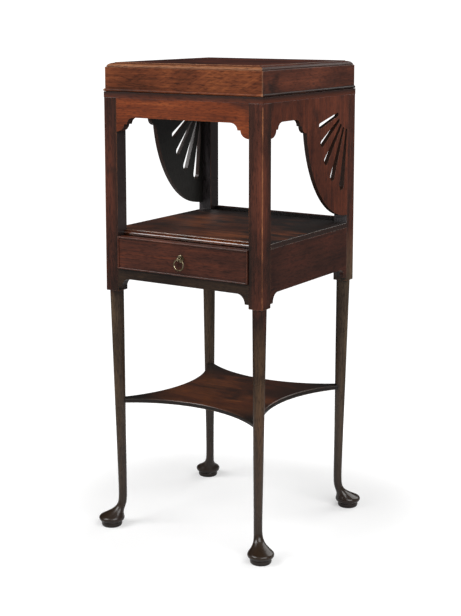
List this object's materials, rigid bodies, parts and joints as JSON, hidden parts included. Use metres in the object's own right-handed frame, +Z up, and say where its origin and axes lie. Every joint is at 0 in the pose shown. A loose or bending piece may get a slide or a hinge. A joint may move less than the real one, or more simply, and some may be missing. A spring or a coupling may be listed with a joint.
{
  "type": "washstand",
  "caption": "Square mahogany washstand with a hinged box lid over a round basin hole, fan-pierced sides above a shelf, a drawer with a ring pull, pad feet and a hollow-sided platform.",
  "frame": {"origin": "middle of the footprint, on the floor", "axes": "+Z up, -Y out of the drawer's front, +X to the right as seen from the front"},
  "size_m": [0.3666, 0.3666, 0.846],
  "materials": {
    "mahogany_upright": "dark waxed mahogany with upright grain",
    "mahogany_front": "polished mahogany with grain along the width",
    "mahogany_side": "polished mahogany with grain along the depth",
    "mahogany_board": "polished mahogany board, worn on the edges",
    "oak_lining": "dry unpolished oak",
    "brass": "aged brass"
  },
  "bodies": {
    "stand": {"leg_front_left": "mahogany_upright", "leg_front_right": "mahogany_upright", "leg_back_left": "mahogany_upright", "leg_back_right": "mahogany_upright", "front_top_rail": "mahogany_front", "back_top_rail": "mahogany_front", "front_lower_rail": "mahogany_front", "lower_panel_back": "mahogany_front", "side_panel_left": "mahogany_side", "side_panel_right": "mahogany_side", "lower_panel_left": "mahogany_side", "lower_panel_right": "mahogany_side", "basin_board": "mahogany_board", "shelf_board": "mahogany_board", "undertier": "mahogany_board", "glue_blocks": "oak_lining", "drawer_runner_left": "oak_lining", "drawer_runner_right": "oak_lining", "drawer_guide_left": "oak_lining", "drawer_guide_right": "oak_lining", "drawer_stops": "oak_lining", "hinge_board_leaf_left": "brass", "hinge_board_leaf_right": "brass", "hinge_pin_left": "brass", "hinge_pin_right": "brass", "board_hinge_screws": "brass"},
    "lid": {"lid_top": "mahogany_board", "lid_front": "mahogany_front", "lid_back": "mahogany_front", "lid_bead_front": "mahogany_front", "lid_left": "mahogany_side", "lid_right": "mahogany_side", "lid_bead_left": "mahogany_side", "lid_bead_right": "mahogany_side", "hinge_lid_leaf_left": "brass", "hinge_lid_leaf_right": "brass", "lid_hinge_screws": "brass"},
    "drawer": {"drawer_front": "mahogany_front", "cock_bead_top": "mahogany_front", "cock_bead_bottom": "mahogany_front", "cock_bead_left": "mahogany_upright", "cock_bead_right": "mahogany_upright", "drawer_side_left": "oak_lining", "drawer_side_right": "oak_lining", "drawer_back": "oak_lining", "drawer_bottom": "oak_lining", "pull_rosette": "brass", "pull_eye": "brass", "pull_nut": "brass"},
    "ring": {"pull_ring": "brass"}
  },
  "joints": [
    {"name": "lid_hinge", "type": "hinge", "parent": "stand", "child": "lid", "pos_m": [0, 0.1659, 0.7952], "axis": [-1, 0, 0], "range_deg": [0, 100]},
    {"name": "drawer_slide", "type": "slide", "parent": "stand", "child": "drawer", "axis": [0, -1, 0], "range_m": [0, 0.2]},
    {"name": "ring_swing", "type": "hinge", "parent": "drawer", "child": "ring", "pos_m": [0, -0.1712, 0.5132], "axis": [-1, 0, 0], "range_deg": [-12, 100]}
  ]
}
